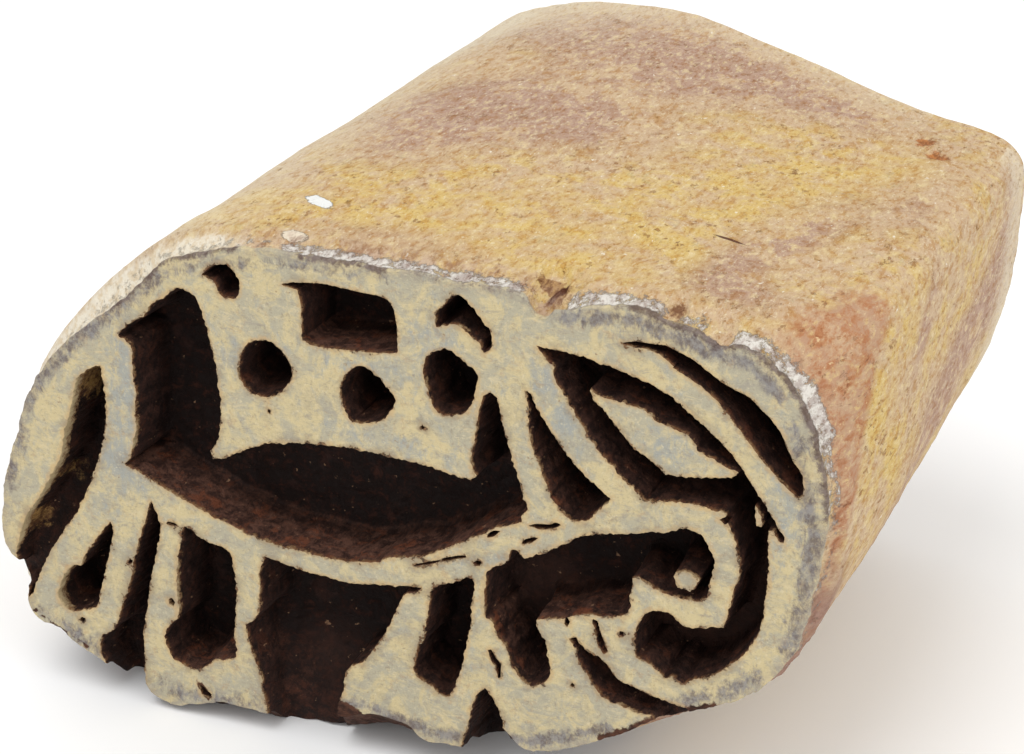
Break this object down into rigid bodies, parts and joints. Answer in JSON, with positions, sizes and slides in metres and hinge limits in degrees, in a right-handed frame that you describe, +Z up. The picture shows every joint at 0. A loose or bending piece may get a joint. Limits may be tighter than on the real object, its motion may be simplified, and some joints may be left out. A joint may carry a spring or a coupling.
{
  "type": "carved wooden printing block",
  "caption": "Hand-carved wooden block with an elephant motif in relief on one end, for pressing ink or dye onto paper or cloth.",
  "frame": {"origin": "centre of the bounding box in plan, at the height of the flat foot side the block lies on", "axes": "-Y out of the carved printing face, +X from the motif's tail to its head, +Z up from the motif's feet to its back"},
  "size_m": [0.0572, 0.0574, 0.0366],
  "materials": {
    "carved_wood": "bare hand-cut wood, chalky cream coat on the raised lines, near-black stain in the recesses"
  },
  "bodies": {
    "root": {"carved_block": "carved_wood"}
  },
  "joints": []
}
